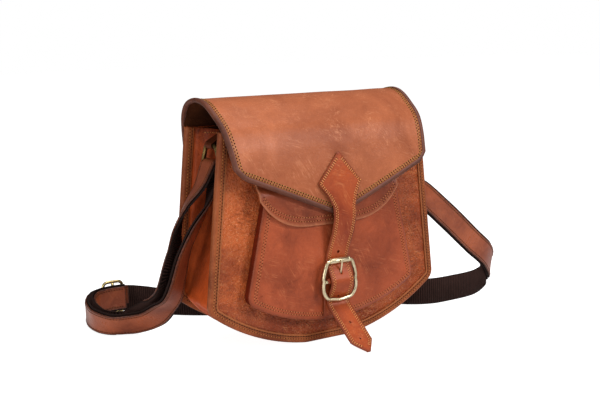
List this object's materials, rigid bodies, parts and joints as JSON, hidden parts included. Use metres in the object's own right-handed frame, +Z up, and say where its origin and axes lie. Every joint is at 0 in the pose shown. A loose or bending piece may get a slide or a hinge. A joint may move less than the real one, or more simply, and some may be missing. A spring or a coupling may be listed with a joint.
{
  "type": "crossbody bag",
  "caption": "Leather crossbody bag with a U-shaped body, a V-hemmed flap, a front pocket, a buckled closure strap and a shoulder strap of leather on webbing.",
  "frame": {"origin": "middle of the flattened underside of the gusset, on the floor", "axes": "+X to the right of someone who faces the bag's front, -Y out of the front, +Z up"},
  "size_m": [0.4603, 0.2713, 0.2345],
  "materials": {
    "panel_leather": "waxed, slightly glossy",
    "edge_leather": "waxed, scuffed",
    "flap_leather": "waxed, slightly glossy",
    "flap_edge_leather": "matt, worn",
    "closure_leather": "waxed, slightly glossy",
    "strap_leather": "smooth, slightly glossy",
    "webbing": "ribbed weave, matt",
    "brass": "antique, satin"
  },
  "bodies": {
    "root": {"front_panel": "panel_leather", "back_panel": "panel_leather", "gusset": "panel_leather", "pocket_gusset": "panel_leather", "pocket_front": "panel_leather", "pocket_flap": "panel_leather", "buckle_chape": "panel_leather", "ring_tab_left": "panel_leather", "ring_tab_right": "panel_leather", "front_binding": "edge_leather", "back_binding": "edge_leather", "flap": "flap_leather", "flap_binding": "flap_edge_leather", "closure_strap": "closure_leather", "strap_leather": "strap_leather", "strap_buckle_chape": "strap_leather", "strap_webbing": "webbing", "buckle_frame": "brass", "buckle_roller": "brass", "buckle_prong": "brass", "ring_left": "brass", "ring_right": "brass", "strap_buckle_frame": "brass", "strap_buckle_prong": "brass"}
  },
  "joints": []
}
